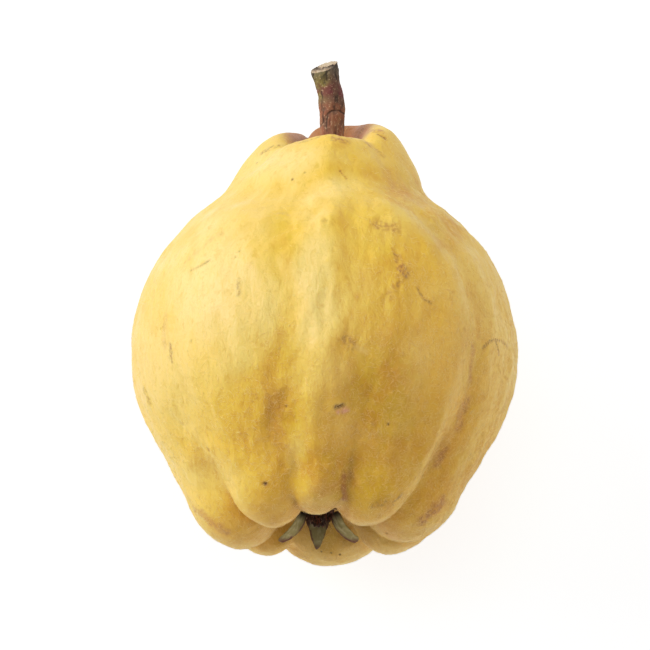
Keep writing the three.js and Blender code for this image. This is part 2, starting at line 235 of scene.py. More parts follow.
def refined(node, levels):
    """A smooth closed mesh that follows a CAD node, and nearly meets its corners."""
    bm = bmesh.new()
    bm.from_mesh(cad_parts[node].data)
    bmesh.ops.remove_doubles(bm, verts=bm.verts, dist=WELD * MM)
    wide = math.radians(JOIN_ANGLE)
    bmesh.ops.join_triangles(bm, faces=bm.faces, angle_face_threshold=wide, angle_shape_threshold=wide)
    cage = bpy.data.meshes.new(node + "_cage")
    bm.to_mesh(cage)
    bm.free()
    holder = bpy.data.objects.new(node + "_cage", cage)
    scene.collection.objects.link(holder)
    subdivision = holder.modifiers.new("smooth", "SUBSURF")
    subdivision.levels = subdivision.render_levels = levels
    corners, _, _ = mesh_arrays(cage)
    moved = corners.copy()
    for last in (False, False, True):
        bpy.context.view_layer.update()
        graph = bpy.context.evaluated_depsgraph_get()
        mesh = bpy.data.meshes.new_from_object(holder.evaluated_get(graph))
        if not last:
            reached, _, _ = mesh_arrays(mesh)
            moved += CORRECTION * (corners - reached[: len(corners)])
            set_points(cage, moved)
            bpy.data.meshes.remove(mesh)
    mesh.name = node
    bpy.data.objects.remove(holder)
    bpy.data.meshes.remove(cage)
    return mesh


def smoothed(values, edges, rounds):
    """values after each vertex has moved towards its neighbours' average, several times over."""
    count = len(values)
    ends = np.concatenate([edges[:, 0], edges[:, 1]])
    others = np.concatenate([edges[:, 1], edges[:, 0]])
    valence = np.bincount(ends, minlength=count)
    flat = values.reshape(count, -1)
    for _ in range(rounds):
        sums = [np.bincount(ends, weights=column[others], minlength=count) for column in flat.T]
        flat = (flat + np.stack(sums, axis=1) / valence[:, None]) / 2
    return flat.reshape(values.shape)


def rough(points, scale, octaves=1, offset=0.0):
    """Smooth noise from about -1 to 1 at each point. Its lumps are about scale millimetres across."""
    shift = Vector((offset, offset * 1.7, offset * 0.6))
    if octaves == 1:
        return np.array([noise.noise(Vector(p) / scale + shift) for p in points])
    return np.array([noise.fractal(Vector(p) / scale + shift, 1.0, 2.0, octaves) for p in points])


def ramp(values, low, high):
    """0 below low and 1 above high, eased between them."""
    share = np.clip((values - low) / (high - low), 0, 1)
    return share * share * (3 - 2 * share)


def painted(count, base, layers):
    """A colour for each vertex: base, with the colour of each layer laid over it by its share."""
    tint = np.tile(base, (count, 1))
    for colour, share in layers:
        share = np.clip(share, 0, 1)[:, None]
        tint = tint * (1 - share) + np.array(colour) * share
    return tint


# ---- Materials ----


class Surface:
    """A principled material whose node graph is built a call at a time."""

    def __init__(self, name, **settings):
        """Settings are constant values for the shader's sockets, by name."""
        self.material = bpy.data.materials.new(name)
        self.material.use_nodes = True
        self.tree = self.material.node_tree
        self.shader = self.tree.nodes["Principled BSDF"]
        for socket, value in settings.items():
            self.shader.inputs[socket.replace("_", " ")].default_value = value
        self.place = self.tree.nodes.new("ShaderNodeTexCoord").outputs["Object"]

    def node(self, kind, **inputs):
        """A new node with the inputs given, by name."""
        made = self.tree.nodes.new(kind)
        for key, value in inputs.items():
            self.feed(made.inputs[key.replace("_", " ")], value)
        return made

    def feed(self, socket, value):
        """Links or sets a socket, whichever the value needs."""
        if isinstance(value, bpy.types.NodeSocket):
            self.tree.links.new(value, socket)
        else:
            socket.default_value = value

    def attribute(self, name, colour=False):
        """A value or a colour that the mesh keeps for each vertex."""
        made = self.tree.nodes.new("ShaderNodeAttribute")
        made.attribute_name = name
        return made.outputs["Color" if colour else "Fac"]

    def noise(self, size, detail=2.0, roughness=0.5, distortion=0.0, stretch=None):
        """Noise whose lumps are about size millimetres across."""
        place = self.place
        if stretch:
            mapping = self.node("ShaderNodeMapping", Vector=place)
            mapping.inputs["Scale"].default_value = stretch
            place = mapping.outputs["Vector"]
        made = self.node(
            "ShaderNodeTexNoise",
            Vector=place, Scale=1 / (size * MM), Detail=detail, Roughness=roughness, Distortion=distortion,
        )
        return made.outputs["Fac"]

    def range(self, value, low, high, to_low=0.0, to_high=1.0):
        """to_low where value is under low, to_high where it is over high, and eased between them."""
        made = self.tree.nodes.new("ShaderNodeMapRange")
        made.interpolation_type = "SMOOTHSTEP"
        for index, number in enumerate([value, low, high, to_low, to_high]):
            self.feed(made.inputs[index], number)
        return made.outputs["Result"]

    def times(self, first, second):
        """The product of two values."""
        made = self.tree.nodes.new("ShaderNodeMath")
        made.operation = "MULTIPLY"
        self.feed(made.inputs[0], first)
        self.feed(made.inputs[1], second)
        return made.outputs[0]

    def mix(self, first, second, share):
        """The first colour where share is 0 and the second where it is 1."""
        made = self.tree.nodes.new("ShaderNodeMix")
        made.data_type = "RGBA"
        self.feed(made.inputs["Factor"], share)
        for index, colour in ((6, first), (7, second)):
            if isinstance(colour, tuple):
                colour = (*colour, 1.0)
            self.feed(made.inputs[index], colour)
        return made.outputs[2]

    def bump(self, height, distance, normal=None):
        """Fine relief. It is distance millimetres high, and lies on the relief that normal carries."""
        made = self.node("ShaderNodeBump", Height=height, Strength=1.0, Distance=distance * MM)
        if normal:
            self.tree.links.new(normal, made.inputs["Normal"])
        return made.outputs["Normal"]

    def finish(self, colour, roughness=None, normal=None):
        """The material, once its colour, roughness and relief are joined to its shader."""
        self.feed(self.shader.inputs["Base Color"], colour)
        if roughness:
            self.feed(self.shader.inputs["Roughness"], roughness)
        if normal:
            self.feed(self.shader.inputs["Normal"], normal)
        return self.material


# Colours of the skin.
GOLD = (0.82, 0.475, 0.06)
BRIGHT_GOLD = (0.84, 0.52, 0.085)
PALE_GOLD = (0.89, 0.62, 0.19)
OLIVE = (0.62, 0.38, 0.022)
OCHRE = (0.61, 0.31, 0.026)
DOWN = (0.82, 0.55, 0.18)
# Brown round the stem: partly russet and partly painted shade.
CAVITY_RUSSET_AND_PAINTED_SHADE = (0.36, 0.135, 0.032)
RUSSET = (0.28, 0.125, 0.045)
STAIN = (0.44, 0.175, 0.055)
PINK = (0.74, 0.36, 0.24)
DARK_BROWN = (0.11, 0.04, 0.02)

# Colours of the hairs, and their painted glow, which stands in for the faint light that they scatter.
PALE_HAIR = (0.98, 0.8, 0.39)
GOLD_HAIR = (0.92, 0.65, 0.24)
PAINTED_HAIR_GLOW = (1.0, 0.72, 0.26)

# The dark grain of the stem, the sepals and the withered pieces.
DARK_GRAIN = (0.03, 0.02, 0.012)


def skin_material():
    """Golden mottled skin with thin felt and marks. Its paler and deeper patches are partly painted highlight
    and painted shade, its pale ridges partly painted highlight, and its brown creases and the brown round the
    stem partly painted shade.
    """
    skin = Surface(
        "quince_skin",
        Subsurface_Weight=0.1,
        Subsurface_Radius=(1.0, 0.5, 0.15),
        Subsurface_Scale=1.5 * MM,
        Specular_IOR_Level=0.33,
    )
    broad = skin.noise(24, detail=2)
    patchy = skin.noise(6, detail=4, roughness=0.6, stretch=(1, 0.6, 1))
    streaks = skin.noise(1.5, detail=4, roughness=0.65, distortion=0.5, stretch=(1, 0.4, 1))
    speckle = skin.noise(0.8, detail=3, roughness=0.65)
    fibre = skin.noise(0.35, detail=3, roughness=0.7, distortion=0.8)
    deep = skin.attribute("deep")
    colour = skin.mix(GOLD, PALE_GOLD, skin.range(broad, 0.42, 0.66, 0.0, 0.5))
    # Pale patches: partly paler ripe skin and partly painted highlight.
    colour = skin.mix(colour, PALE_GOLD, skin.attribute("sunny_and_painted_highlight"))
    # Deeper patches: partly deeper ripe skin and partly painted shade.
    ripe = skin.mix(OLIVE, OCHRE, skin.range(patchy, 0.4, 0.62))
    colour = skin.mix(colour, ripe, skin.times(deep, skin.range(patchy, 0.3, 0.6, 0.75, 1.0)))
    colour = skin.mix(colour, OCHRE, skin.range(patchy, 0.5, 0.72, 0.0, 0.35))
    colour = skin.mix(colour, BRIGHT_GOLD, skin.range(streaks, 0.5, 0.7, 0.0, 0.5))
    colour = skin.mix(colour, OCHRE, skin.range(streaks, 0.48, 0.3, 0.0, 0.4))
    colour = skin.mix(colour, OCHRE, skin.range(speckle, 0.56, 0.72, 0.0, 0.35))

    felt = skin.times(skin.attribute("down"), skin.range(fibre, 0.45, 0.65))
    colour = skin.mix(colour, DOWN, skin.times(felt, 0.1))
    # Paler ridges: partly felt and partly painted highlight.
    colour = skin.mix(colour, DOWN, skin.times(skin.attribute("crest_pale_and_painted_highlight"), 0.2))
    # Brown in the creases: partly russet and partly painted shade.
    crease_patchiness = skin.range(patchy, 0.35, 0.6, 0.55, 1.0)
    colour = skin.mix(colour, RUSSET, skin.times(skin.attribute("crease_russet_and_painted_shade"), crease_patchiness))
    # Brown round the stem: partly russet and partly painted shade.
    brown = skin.mix(CAVITY_RUSSET_AND_PAINTED_SHADE, RUSSET, skin.range(patchy, 0.35, 0.6, 0.0, 0.6))
    colour = skin.mix(colour, brown, skin.attribute("cavity_russet_and_painted_shade"))
    grain = skin.range(speckle, 0.36, 0.56, 0.4, 1.0)
    kinds = [("stain", STAIN), ("russet", RUSSET), ("pale", DOWN), ("pink", PINK), ("dark", DARK_BROWN)]
    for name, tint in kinds:
        colour = skin.mix(colour, tint, skin.times(skin.attribute(name), grain))

    normal = skin.bump(streaks, 0.26)
    normal = skin.bump(speckle, 0.1, normal=normal)
    normal = skin.bump(fibre, 0.04, normal=normal)
    roughness = skin.range(patchy, 0.3, 0.7, 0.4, 0.52)
    return skin.finish(colour, roughness, normal)


def down_material():
    """Pale hairs with a faint painted glow, which stands in for the light that fine hairs scatter in soft
    light.
    """
    down = Surface(
        "quince_down",
        Roughness=0.6,
        Emission_Color=(*PAINTED_HAIR_GLOW, 1.0),
        Emission_Strength=0.05,
    )
    return down.finish(down.mix(PALE_HAIR, GOLD_HAIR, down.noise(3, detail=2)))


def tinted_material(name, grain, roughness, bump, stretch=None):
    """A dry plant surface that takes its colours from the mesh and adds fine grain."""
    surface = Surface(name, Roughness=roughness, Specular_IOR_Level=0.2)
    fine = surface.noise(grain, detail=4, roughness=0.65, stretch=stretch)
    dark = surface.range(fine, 0.52, 0.8, 0.0, 0.5)
    colour = surface.mix(surface.attribute("tint", colour=True), DARK_GRAIN, dark)
    return surface.finish(colour, normal=surface.bump(fine, bump))


# ---- The fruit, measured in millimetres ----

# The relief of the skin: how high it is and how wide its lumps are, from the broadest to the finest.
BROAD_RELIEF = (0.3, 15)
LUMPY_RELIEF = (0.3, 8)
HAMMERED_RELIEF = (0.42, 4.5)
FINE_RELIEF = (0.14, 1.5)

# How far the middle of the relief lies under the CAD skin, so that its tops stand out little past it.
RELIEF_SINK = 0.12

# How deep a crease is, and how high a crest, where its colour begins and where it is full. The brown of a
# crease is partly russet and partly painted shade; the pale tint of a crest is partly felt and partly painted
# highlight.
GROOVE_DEPTH = (0.12, 0.75)
CREST_HEIGHT = (0.12, 0.5)

# How far from the stem the brown of its cavity begins to fade and is gone, and the same round the calyx for
# the brown of its basin. Both browns are partly russet and partly painted shade.
CAVITY_REACH = (7.5, 13.5)
BASIN_REACH = (6, 15)

# How high over the floor the relief begins and where it is full, and the same for the hairs.
RELIEF_OFF_FLOOR = (0.0, 3.0)
HAIRS_OFF_FLOOR = (0.5, 2.5)

# How far to the left and right of the fruit's middle its sides are fully reached.
SIDE_REACH = 42

# A height well over the fruit.
OVERHEAD = 200

# How far apart the points are that follow a mark, how far round the mark the skin's faces are split more
# finely, and how many cuts each of their edges gets.
MARK_STEP = 0.5
MARK_MARGIN = 0.9
MARK_CUTS = 3

# How many rounds of smoothing find the creases, and how many soften the right side of the middle rib.
CREASE_ROUNDS = 30
SOFTENING_ROUNDS = 80

# How far the ridges on top wander to the left and right of a straight course, and how long their bends are.
WANDER = 3.4
WANDER_SIZE = 9


def height_share(points):
    """How far along the fruit each point is: 0 at the calyx end and 1 at the rim of the neck."""
    return (points[:, 1] - FRUIT_LOW[1]) / (FRUIT_HIGH[1] - FRUIT_LOW[1])


def seen_from_above(tree, x, y):
    """The first point of the skin that is met coming straight down on (x, y)."""
    hit, _, _, _ = tree.ray_cast(Vector((x, y, OVERHEAD)) * MM, Vector((0, 0, -1)))
    return np.array(hit) / MM


def along_path(path, step):
    """Points about step apart on the straight lines through a path's points."""
    path = np.array(path, dtype=float)
    places = [path[:1]]
    for start, end in zip(path, path[1:]):
        count = max(1, round(math.dist(start, end) / step))
        share = np.arange(1, count + 1)[:, None] / count
        places.append(start + (end - start) * share)
    return np.concatenate(places)


def mark_samples(tree):
    """For each mark, points on the skin that follow it."""
    samples = []
    for _, _, _, path in MARKS:
        places = along_path(path, MARK_STEP) + np.array([CORE_X, CORE_Y])
        samples.append(np.array([seen_from_above(tree, x, y) for x, y in places]))
    return samples


def distances(points, places):
    """Each point's distance from the nearest of the places."""
    nearest = np.full(len(points), 1e9)
    for place in places:
        nearest = np.minimum(nearest, np.linalg.norm(points - place, axis=1))
    return nearest


def refine_marks(mesh, samples):
    """Splits the skin's faces more finely round the small marks."""
    bm = bmesh.new()
    bm.from_mesh(mesh)
    centres = np.array([face.calc_center_median() for face in bm.faces]) / MM
    near = np.zeros(len(centres), dtype=bool)
    for (kind, width, _, _), places in zip(MARKS, samples):
        if kind != "stain":
            near |= distances(centres, places) < width + MARK_MARGIN
    bm.faces.ensure_lookup_table()
    edges = {edge for index in np.flatnonzero(near) for edge in bm.faces[int(index)].edges}
    bmesh.ops.subdivide_edges(bm, edges=list(edges), cuts=MARK_CUTS, use_grid_fill=True)
    bm.to_mesh(mesh)
    bm.free()


def skin_relief(points, share, side, on_top):
    """How far the relief raises each point of the skin."""

    def layer(places, relief, **detail):
        """One layer of relief at the places given."""
        height, size = relief
        return height * rough(places, size, **detail)

    smooth_cheek = ramp(-side, 0.15, 0.6) * ramp(share, 0.25, 0.5)
    smooth_ends = np.clip(ramp(share, 0.72, 0.85) + 1 - ramp(share, 0.05, 0.25), 0, 1)
    drawn_out = points * np.array([1, 0.5, 1])
    hammered = layer(drawn_out, HAMMERED_RELIEF, octaves=3, offset=9)
    hammered += layer(drawn_out, FINE_RELIEF, offset=3)
    hammered *= (1 - 0.7 * smooth_cheek) * (1 - 0.65 * smooth_ends)
    hammered *= 1 + 0.7 * on_top
    return layer(points, BROAD_RELIEF) + layer(points, LUMPY_RELIEF, offset=15) + hammered - RELIEF_SINK


def draw_marks(points, samples, rise):
    """The strength of each tint at each point. It also adds the marks' own height to rise."""
    tints = {tint: np.zeros(len(points)) for tint in ("pink", "russet", "pale", "stain", "dark")}

    def strengthen(tint, close, strength):
        """Raises a tint at the points given, where it is weaker than strength."""
        tints[tint][close] = np.maximum(tints[tint][close], strength)

    for index, ((kind, width, strength, _), places) in enumerate(zip(MARKS, samples)):
        lift, waviness = KINDS[kind]
        away = distances(points, places)
        close = np.flatnonzero(away < width * 3 + waviness * 2)
        wavy = away[close] + waviness * rough(points[close], 0.8 + width * 0.5, offset=index)
        core = 1 - ramp(wavy, width * 0.35, width * 1.2)
        rise[close] += lift * (1 - ramp(wavy, 0, width * 1.3))
        if kind == "crack":
            core *= np.clip(0.75 + 0.9 * rough(points[close], 0.7, offset=index + 40), 0, 1)
        if kind == "russet":
            core *= np.clip(0.75 + 1.2 * rough(points[close], 0.7, offset=index + 70), 0, 1)
        if kind in ("pit", "crack"):
            halo = 1 - ramp(wavy, width * 0.9, width * 2.4)
            strengthen("dark", close, core * strength * 0.85)
            strengthen("russet", close, halo * strength * 0.5)
        else:
            strengthen(kind, close, core * strength * 0.95)
    return tints


def on_ridge(points, right, half_width):
    """1 along a line on top of the fruit, that far to the right of the core, falling to 0 beside it."""
    beside = (points[:, 0] - CORE_X - right) / half_width
    return np.exp(-(beside ** 2)) * ramp(points[:, 2], CORE_Z, CORE_Z + 15)


def reshaped(points, normals, edges, rise, share, on_top):
    """The skin's points with a softer right edge on the middle rib, the relief, and ridges that wander."""
    soften = on_ridge(points, 4, 9)
    soften *= ramp(share, 0.35, 0.5) * (1 - ramp(share, 0.76, 0.86))
    lying = 1 - ramp(points[:, 2], *RELIEF_OFF_FLOOR)
    moved = points + (smoothed(points, edges, SOFTENING_ROUNDS) - points) * soften[:, None]
    moved += normals * (rise * (1 - lying))[:, None]
    moved[:, 2] = np.maximum(moved[:, 2], 0)
    middle_part = ramp(share, 0.15, 0.35) * (1 - ramp(share, 0.72, 0.88))
    wander = rough(moved * np.array([0.4, 1, 0.4]), WANDER_SIZE, offset=31)
    moved[:, 0] += WANDER * wander * on_top * middle_part
    return moved


def ripeness_and_painted_light(points, share, patch):
    """The share of the paler and the deeper tint at each point of the skin: partly its own ripening, and
    partly painted highlight and painted shade.
    """
    zones = {"sunny_and_painted_highlight": np.zeros(len(points)), "deep": np.zeros(len(points))}
    upper = ramp(points[:, 2], CORE_Z - 12, CORE_Z + 6)
    for kind, strength, centre, half in PATCHES:
        across = (points[:, 0] - CORE_X - centre[0]) / half[0]
        along = (points[:, 1] - CORE_Y - centre[1]) / half[1]
        spread = (1 - ramp(np.hypot(across, along) + 0.45 * patch, 0.3, 1.5)) * strength
        zones[kind] = np.maximum(zones[kind], spread * upper)
    below = (1 - upper) * ramp(patch, -0.2, 0.5)
    zones["deep"] = np.maximum(zones["deep"], below * (1 - ramp(share, 0.2, 0.7)) * 0.7)
    zones["sunny_and_painted_highlight"] = np.maximum(zones["sunny_and_painted_highlight"], (1 - upper) * ramp(-patch, -0.1, 0.5) * 0.5)
    return zones


def fruit_mesh():
    """The skin, and how thick the down grows at each of its vertices."""
    mesh = refined("fruit", 2)
    tree = BVHTree.FromPolygons([v.co for v in mesh.vertices], [p.vertices for p in mesh.polygons])
    samples = mark_samples(tree)
    refine_marks(mesh, samples)

    points, normals, edges = mesh_arrays(mesh)
    # Brown in the hollows, partly russet and partly painted shade, and a pale tint on the ridges, partly felt
    # and partly painted highlight.
    concave = ((smoothed(points, edges, CREASE_ROUNDS) - points) * normals).sum(axis=1)
    crease_russet_and_painted_shade = ramp(concave, *GROOVE_DEPTH)
    crest_pale_and_painted_highlight = ramp(-concave, *CREST_HEIGHT)
    share = height_share(points)
    side = np.clip((points[:, 0] - BELLY[0]) / SIDE_REACH, -1, 1)
    on_top = on_ridge(points, -7, 11)
    rise = skin_relief(points, share, side, on_top)
    tints = draw_marks(points, samples, rise)
    points = reshaped(points, normals, edges, rise, share, on_top)
    set_points(mesh, points)

    # Brown round the stem, partly russet and partly painted shade.
    from_stem = np.hypot(points[:, 0] - STEM[0], points[:, 2] - CORE_Z + 3.5)
    cavity_russet_and_painted_shade = (1 - ramp(from_stem, *CAVITY_REACH)) * ramp(share, 0.87, 0.93)
    # The hollow round the calyx adds its brown, partly russet and partly painted shade, to the creases.
    basin_russet_and_painted_shade = 1 - ramp(np.linalg.norm(points - CALYX, axis=1), *BASIN_REACH)
    crease_russet_and_painted_shade *= ramp(np.abs(share - 0.55), 0.1, 0.45)
    crease_russet_and_painted_shade = np.clip(crease_russet_and_painted_shade * (0.8 + 0.6 * ramp(share, 0.8, 0.93)) + basin_russet_and_painted_shade * 0.25, 0, 1)
    patch = rough(points, 9, octaves=2, offset=5)
    down = (1 - ramp(share, 0.15, 0.75)) * (0.75 + 0.25 * side) + 0.45 * ramp(side, 0.0, 0.8)
    down = np.clip(down * (0.85 + 0.5 * patch) + 0.5 * crease_russet_and_painted_shade, 0, 1) * (1 - 0.8 * cavity_russet_and_painted_shade)
    zones = ripeness_and_painted_light(points, share, patch)
    attributes = dict(tints, crease_russet_and_painted_shade=crease_russet_and_painted_shade, crest_pale_and_painted_highlight=crest_pale_and_painted_highlight, cavity_russet_and_painted_shade=cavity_russet_and_painted_shade, down=down, **zones)
    for name, value in attributes.items():
        set_values(mesh, name, np.clip(value, 0, 1))
    off_floor = ramp(points[:, 2], *HAIRS_OFF_FLOOR)
    return mesh, (down + 0.02) * off_floor


# ---- Down ----

# A strand has a ring of points round its root, another round its middle, and one point at its tip.
# MIDDLE_THICKNESS is how thick its middle is, as a share of its root.
RING = 3
STRAND_POINTS = 2 * RING + 1
MIDDLE_THICKNESS = 0.8

# The hairs of the down, in millimetres: how high their middles and tips lie over the skin, how thick they
# are, and how deep they root. HAIR_BEND is how far their middles stray sideways, as a share of their length.
MIDDLE_LIFT = (0.03, 0.16)
TIP_LIFT = (0.02, 0.2)
HAIR_THICKNESS = (0.035, 0.06)
ROOT_DEPTH = 0.03
HAIR_BEND = 0.16

# The two layers of the down: the piece, how many hairs, their shortest and longest length in millimetres, and
# how strongly they gather where the down is thick.
DOWN_LAYERS = [
    ("down_long", 17000, (1.0, 2.6), 1.5),
    ("down_short", 19000, (0.5, 1.5), 1.0),
]


def strands(roots, middles, tips, thickness):
    """One mesh of closed tapered strands. All arguments have one row, or number, for each strand."""
    along = tips - roots
    along /= np.linalg.norm(along, axis=1, keepdims=True)
    helper = np.where(np.abs(along[:, 2:3]) < 0.8, [[0, 0, 1.0]], [[1.0, 0, 0]])
    first = np.cross(along, helper)
    first /= np.linalg.norm(first, axis=1, keepdims=True)
    second = np.cross(along, first)
    count = len(roots)
    points = np.empty((count, STRAND_POINTS, 3))
    faces = [(2, 1, 0)]
    for corner in range(RING):
        turn = 2 * math.pi * corner / RING
        out = (math.cos(turn) * first + math.sin(turn) * second) * thickness[:, None] / 2
        points[:, corner] = roots + out
        points[:, RING + corner] = middles + out * MIDDLE_THICKNESS
        after = (corner + 1) % RING
        faces.append((corner, after, RING + after))
        faces.append((corner, RING + after, RING + corner))
        faces.append((RING + corner, RING + after, 2 * RING))
    points[:, 2 * RING] = tips
    starts = STRAND_POINTS * np.arange(count)[:, None, None]
    all_faces = (np.array(faces)[None] + starts).reshape(-1, 3)
    mesh = bpy.data.meshes.new("strands")
    mesh.vertices.add(count * STRAND_POINTS)
    mesh.loops.add(len(all_faces) * 3)
    mesh.polygons.add(len(all_faces))
    mesh.vertices.foreach_set("co", (points * MM).astype(np.float32).ravel())
    mesh.loops.foreach_set("vertex_index", all_faces.astype(np.int32).ravel())
    mesh.polygons.foreach_set("loop_start", np.arange(len(all_faces), dtype=np.int32) * 3)
    mesh.update(calc_edges=True)
    mesh.validate()
    return mesh


def skin_places(mesh, weights, count):
    """count random points on the mesh, most of them where weights, one per vertex, are high."""
    mesh.calc_loop_triangles()
    corners = np.empty(len(mesh.loop_triangles) * 3, dtype=np.int32)
    mesh.loop_triangles.foreach_get("vertices", corners)
    corners = corners.reshape(-1, 3)
    points, normals, _ = mesh_arrays(mesh)
    a, b, c = (points[corners[:, k]] for k in range(3))
    areas = np.linalg.norm(np.cross(b - a, c - a), axis=1) / 2
    chance = areas * weights[corners].mean(axis=1)
    chosen = random.choice(len(corners), size=count, p=chance / chance.sum())
    u, v = random.random(count), random.random(count)
    fold = u + v > 1
    u[fold], v[fold] = 1 - u[fold], 1 - v[fold]
    shares = np.stack([1 - u - v, u, v], axis=1)
    picked = corners[chosen]
    place = (points[picked] * shares[:, :, None]).sum(axis=1)
    normal = (normals[picked] * shares[:, :, None]).sum(axis=1)
    return place, normal / np.linalg.norm(normal, axis=1, keepdims=True)


def down_mesh(skin, weights, count, lengths):
    """Hairs that follow the skin: each starts on it, bends, and ends just above it."""
    tree = BVHTree.FromPolygons([v.co for v in skin.vertices], [p.vertices for p in skin.polygons])

    def lifted(points, lift):
        """The points moved to the nearest skin, and then out from it by lift."""
        out = np.empty_like(points)
        for index, point in enumerate(points):
            place, normal, _, _ = tree.find_nearest(Vector(point) * MM)
            out[index] = np.array(place) / MM + np.array(normal) * lift[index]
        return out

    roots, normals = skin_places(skin, weights, count)
    heading = random.normal(size=(count, 3))
    heading -= normals * (heading * normals).sum(axis=1, keepdims=True)
    heading /= np.linalg.norm(heading, axis=1, keepdims=True)
    across = np.cross(normals, heading)
    length = random.uniform(*lengths, size=count)[:, None]
    bend = random.normal(0, HAIR_BEND, size=count)[:, None] * length
    halfway = roots + heading * length * 0.5 + across * bend
    middles = lifted(halfway, random.uniform(*MIDDLE_LIFT, count))
    tips = lifted(roots + heading * length, random.uniform(*TIP_LIFT, count))
    thickness = random.uniform(*HAIR_THICKNESS, count)
    return strands(roots - normals * ROOT_DEPTH, middles, tips, thickness)


# ---- Stem ----

# The scar of a bud round the stem's upper side, and the bud beside it, measured as the marks are.
SCAR = [(-0.5, 49.2), (0.5, 51.2), (1.9, 52.2), (3.3, 52.4), (4.6, 51.8)]
BUD = (3.3, 51.4)

# Colours of the stem.
BARK = (0.14, 0.07, 0.045)
RED_BARK = (0.23, 0.09, 0.05)
PALE_BARK = (0.30, 0.16, 0.085)
GREEN_BARK = (0.21, 0.17, 0.05)
CRIMSON_BARK = (0.15, 0.03, 0.04)
GREY_BARK = (0.11, 0.095, 0.07)
BLACK_BARK = (0.028, 0.022, 0.018)
LENTICEL = (0.5, 0.37, 0.23)
BARK_CRACK = (0.04, 0.025, 0.018)
SCAR_BROWN = (0.05, 0.025, 0.015)
CUT_WOOD = (0.5, 0.39, 0.28)
CUT_STAIN = (0.35, 0.22, 0.12)
CUT_RIM = (0.06, 0.045, 0.035)


def stem_mesh():
    """The stem: ridged bark, red below and greenish to greyish above, with a bud scar and a slanting cut."""
    mesh = refined("stem", 3)
    points, normals, _ = mesh_arrays(mesh)
    place = points - np.array([CORE_X, CORE_Y, CORE_Z])
    along = (points[:, 1] - STEM_LOW[1]) / (STEM_HIGH[1] - STEM_LOW[1])
    flat = place * np.array([1, 1, 0])
    scar = np.pad(along_path(SCAR, 0.3), ((0, 0), (0, 1)))
    upper = ramp(place[:, 2], -0.5, 0.8)
    from_scar = distances(flat, scar) + 0.25 * rough(points, 1.0, offset=12)
    line = (1 - ramp(from_scar, 0.05, 0.24)) * upper
    bud = np.exp(-((flat[:, 0] - BUD[0]) ** 2 + (flat[:, 1] - BUD[1]) ** 2) / 1.1) * upper

    lengthwise = points * np.array([1, 0.25, 1])
    ridges = rough(lengthwise, 0.9, octaves=3)
    lumps = rough(points, 2.2, octaves=2, offset=4)
    fine = rough(points, 0.5, octaves=2, offset=2)
    cut = ramp(normals[:, 1], 0.5, 0.75) * ramp(along, 0.75, 0.85)
    top = points[along > 0.93]
    from_pith = np.hypot(points[:, 0] - top[:, 0].mean(), points[:, 2] - top[:, 2].mean())
    rim = ramp(from_pith + 0.3 * fine, 2.2, 2.7) * ramp(along, 0.85, 0.93)
    rise = (0.14 * ridges + 0.14 * lumps + 0.05 * fine) * (1 - cut) + 0.22 * fine * cut
    rise += 0.35 * bud - 0.12 * line + 0.25 * rim * ridges
    set_points(mesh, points + normals * rise[:, None])

    speckle = rough(points, 0.32, octaves=2, offset=7)
    low = 1 - ramp(along, 0.5, 0.62)
    left = ramp(STEM[0] + 0.3 - points[:, 0], -1.0, 1.6)
    crimson = ramp(along, 0.58, 0.66) * (1 - ramp(along, 0.7, 0.78)) * ramp(lumps, -0.5, 0.1)
    grey = ramp(along + 0.06 * lumps, 0.72, 0.92)
    black = ramp(along, 0.72, 0.85) * ramp(-lumps - 0.5 * ridges, 0.05, 0.35)
    layers = [
        (RED_BARK, low * ramp(lumps, -0.5, 0.3)),
        (PALE_BARK, low * ramp(ridges, 0.1, 0.45) * 0.7),
        (GREEN_BARK, left * ramp(along, 0.52, 0.7) * 0.9),
        (CRIMSON_BARK, crimson * 0.75),
        (GREY_BARK, grey * 0.8),
        (BLACK_BARK, black * 0.85),
        (LENTICEL, ramp(speckle, 0.4, 0.6) * 0.55),
        (BARK_CRACK, ramp(-ridges, 0.25, 0.5) * 0.7),
        (SCAR_BROWN, line * 0.85),
        (CUT_WOOD, cut * (1 - rim)),
        (CUT_STAIN, cut * ramp(-fine, 0.1, 0.4) * 0.7),
        (CUT_RIM, rim * 0.85),
    ]
    tint = painted(len(points), BARK, layers)
    set_values(mesh, "tint", tint)
    return mesh


# ---- Calyx ----

# Colours of the sepals.
SEPAL_GREEN = (0.38, 0.31, 0.12)
SEPAL_VEIN = (0.56, 0.47, 0.24)
SEPAL_EDGE = (0.18, 0.055, 0.035)
SEPAL_FOOT = (0.04, 0.024, 0.016)

# Colours of the cup, the styles and the dry threads.
WITHERED = (0.055, 0.03, 0.02)
WITHERED_RED = (0.2, 0.07, 0.045)
THREAD = (0.09, 0.045, 0.03)
RED_THREAD = (0.30, 0.10, 0.06)
PALE_THREAD = (0.55, 0.42, 0.28)

# The scale of a sepal's veins and of its broader unevenness, and how high each stands, in millimetres.
VEIN_SIZE = 0.7
UNEVEN_SIZE = 1.6
SEPAL_RELIEF = 0.12

# The dry threads: how many there are, and in millimetres how far from the middle of the cup they stand, how
# far they lean, how long they are and how thick.
THREADS = 150
THREAD_CIRCLE = (0.2, 3.0)
THREAD_LEAN = 0.8
THREAD_LENGTH = (1.4, 3.6)
THREAD_THICKNESS = (0.12, 0.28)

# A sepal's width is measured in this many steps along it.
STEPS = 10


